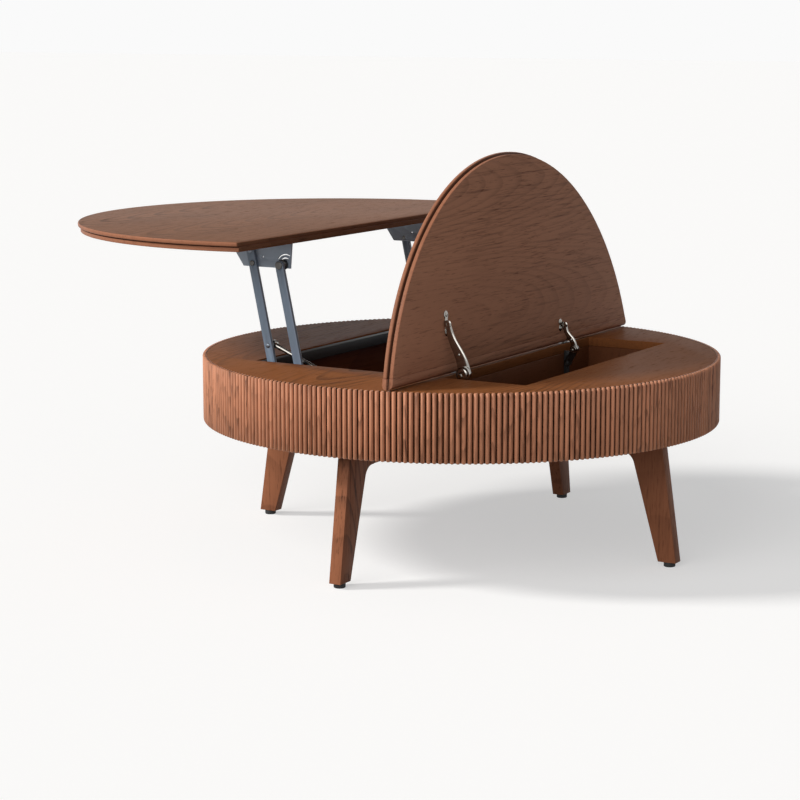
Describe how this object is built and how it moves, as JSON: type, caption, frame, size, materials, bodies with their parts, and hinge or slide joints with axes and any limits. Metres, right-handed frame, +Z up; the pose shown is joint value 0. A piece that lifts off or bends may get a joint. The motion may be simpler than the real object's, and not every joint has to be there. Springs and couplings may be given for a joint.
{
  "type": "lift top coffee table",
  "caption": "Round lift top coffee table: slatted drum on four splayed legs, with a top that rises level on arms and a hinged flap over a second compartment.",
  "frame": {"origin": "on the floor under the middle of the drum", "axes": "+Z up, +X towards the flap, Y along the seam between the two tops; stored with the large top lifted and the flap open"},
  "size_m": [1.2959, 1, 0.7609],
  "materials": {
    "walnut_veneer": "satin open-grain walnut-stained veneer",
    "walnut_slats": "satin stained half-round slats",
    "walnut_inside": "dark stained board",
    "walnut_legs": "satin stained solid wood",
    "arm_paint": "semi-gloss blue-grey paint",
    "black_paint": "satin black paint",
    "bright_steel": "bright plated steel",
    "brushed_plate": "zinc plated steel",
    "black_rubber": "matte rubber"
  },
  "bodies": {
    "drum": {"slat_band": "walnut_slats", "drum_hoop": "walnut_inside", "deck_board": "walnut_veneer", "bottom_panel": "walnut_inside", "front_wall": "walnut_inside", "rear_wall": "walnut_inside", "left_wall": "walnut_inside", "right_wall": "walnut_inside", "divider": "walnut_inside", "rail_x": "walnut_legs", "rail_y": "walnut_legs", "leg_right": "walnut_legs", "leg_back": "walnut_legs", "leg_left": "walnut_legs", "leg_front": "walnut_legs", "levelling_feet": "black_rubber", "hinge_knuckles": "brushed_plate", "hinge_screws": "brushed_plate", "front_plate": "arm_paint", "rear_plate": "arm_paint", "plate_screws": "brushed_plate", "stop_bar": "black_paint", "front_lower_studs": "bright_steel", "rear_lower_studs": "bright_steel", "large_stay_base": "brushed_plate", "small_stay_base": "black_paint", "stay_screws": "brushed_plate"},
    "front_outer_arm": {"front_outer_arm": "arm_paint", "front_arm_bolt": "arm_paint"},
    "rear_outer_arm": {"rear_outer_arm": "arm_paint", "rear_arm_bolt": "arm_paint"},
    "front_inner_arm": {"front_inner_arm": "arm_paint"},
    "rear_inner_arm": {"rear_inner_arm": "arm_paint"},
    "lift_top": {"lift_top_board": "walnut_veneer", "lift_top_underboard": "walnut_veneer", "top_pads": "black_rubber", "front_bracket": "arm_paint", "rear_bracket": "arm_paint", "front_upper_studs": "bright_steel", "rear_upper_studs": "bright_steel", "bracket_screws": "brushed_plate"},
    "front_gas_tube": {"front_gas_tube": "black_paint"},
    "rear_gas_tube": {"rear_gas_tube": "black_paint"},
    "front_gas_rod": {"front_gas_rod": "bright_steel"},
    "rear_gas_rod": {"rear_gas_rod": "bright_steel"},
    "flap": {"flap_board": "walnut_veneer", "flap_underboard": "walnut_veneer", "flap_lipping": "walnut_veneer", "hinge_pins": "bright_steel", "large_stay_bracket": "brushed_plate", "small_stay_bracket": "brushed_plate"},
    "large_stay_lower": {"large_stay_lower_arm": "bright_steel"},
    "large_stay_upper": {"large_stay_upper_arm": "bright_steel"},
    "small_stay_lower": {"small_stay_lower_arm": "bright_steel"},
    "small_stay_upper": {"small_stay_upper_arm": "bright_steel"}
  },
  "joints": [
    {"name": "top_lift", "type": "hinge", "parent": "drum", "child": "front_outer_arm", "pos_m": [-0.239, 0, 0.315], "axis": [0, 1, 0], "range_deg": [0, 98.34]},
    {"name": "rear_outer_swing", "type": "hinge", "parent": "drum", "child": "rear_outer_arm", "pos_m": [-0.239, 0, 0.315], "axis": [0, 1, 0], "range_deg": [0, 98.34]},
    {"name": "front_inner_swing", "type": "hinge", "parent": "drum", "child": "front_inner_arm", "pos_m": [-0.173, 0, 0.315], "axis": [0, 1, 0], "range_deg": [0, 98.34]},
    {"name": "rear_inner_swing", "type": "hinge", "parent": "drum", "child": "rear_inner_arm", "pos_m": [-0.173, 0, 0.315], "axis": [0, 1, 0], "range_deg": [0, 98.34]},
    {"name": "top_level", "type": "hinge", "parent": "front_outer_arm", "child": "lift_top", "pos_m": [-0.29122, 0, 0.55576], "axis": [0, 1, 0], "range_deg": [-98.34, 0]},
    {"name": "front_gas_turn", "type": "hinge", "parent": "drum", "child": "front_gas_tube", "pos_m": [0.02, 0, 0.29], "axis": [0, 1, 0], "range_deg": [-11.56, 0]},
    {"name": "rear_gas_turn", "type": "hinge", "parent": "drum", "child": "rear_gas_tube", "pos_m": [0.02, 0, 0.29], "axis": [0, 1, 0], "range_deg": [-11.56, 0]},
    {"name": "front_gas_slide", "type": "slide", "parent": "front_gas_tube", "child": "front_gas_rod", "axis": [-0.9285, 0, 0.3712], "range_m": [-0.12516, 0]},
    {"name": "rear_gas_slide", "type": "slide", "parent": "rear_gas_tube", "child": "rear_gas_rod", "axis": [-0.9285, 0, 0.3712], "range_m": [-0.12516, 0]},
    {"name": "flap_hinge", "type": "hinge", "parent": "drum", "child": "flap", "pos_m": [0.12, 0, 0.384], "axis": [0, 1, 0], "range_deg": [0, 94]},
    {"name": "large_stay_foot", "type": "hinge", "parent": "drum", "child": "large_stay_lower", "pos_m": [0.1543, 0, 0.296], "axis": [0, 1, 0], "range_deg": [0, 94]},
    {"name": "large_stay_anchor", "type": "hinge", "parent": "flap", "child": "large_stay_upper", "pos_m": [0.1337, 0, 0.4696], "axis": [0, 1, 0], "range_deg": [-94, 0]},
    {"name": "small_stay_foot", "type": "hinge", "parent": "drum", "child": "small_stay_lower", "pos_m": [0.14, 0, 0.337], "axis": [0, 1, 0], "range_deg": [0, 94]},
    {"name": "small_stay_anchor", "type": "hinge", "parent": "flap", "child": "small_stay_upper", "pos_m": [0.136, 0, 0.413], "axis": [0, 1, 0], "range_deg": [-94, 0]}
  ],
  "couplings": [
    {"joint": "rear_outer_swing", "follows": "top_lift", "ratio": 1},
    {"joint": "front_inner_swing", "follows": "top_lift", "ratio": 1},
    {"joint": "rear_inner_swing", "follows": "top_lift", "ratio": 1},
    {"joint": "top_level", "follows": "top_lift", "ratio": -1},
    {"joint": "front_gas_turn", "follows": "top_lift", "ratio": -0.11727},
    {"joint": "rear_gas_turn", "follows": "top_lift", "ratio": -0.11727},
    {"joint": "front_gas_slide", "follows": "top_lift", "m_per_rad": -0.07285},
    {"joint": "rear_gas_slide", "follows": "top_lift", "m_per_rad": -0.07285},
    {"joint": "large_stay_foot", "follows": "flap_hinge", "ratio": 1},
    {"joint": "large_stay_anchor", "follows": "flap_hinge", "ratio": -1},
    {"joint": "small_stay_foot", "follows": "flap_hinge", "ratio": 1},
    {"joint": "small_stay_anchor", "follows": "flap_hinge", "ratio": -1}
  ]
}
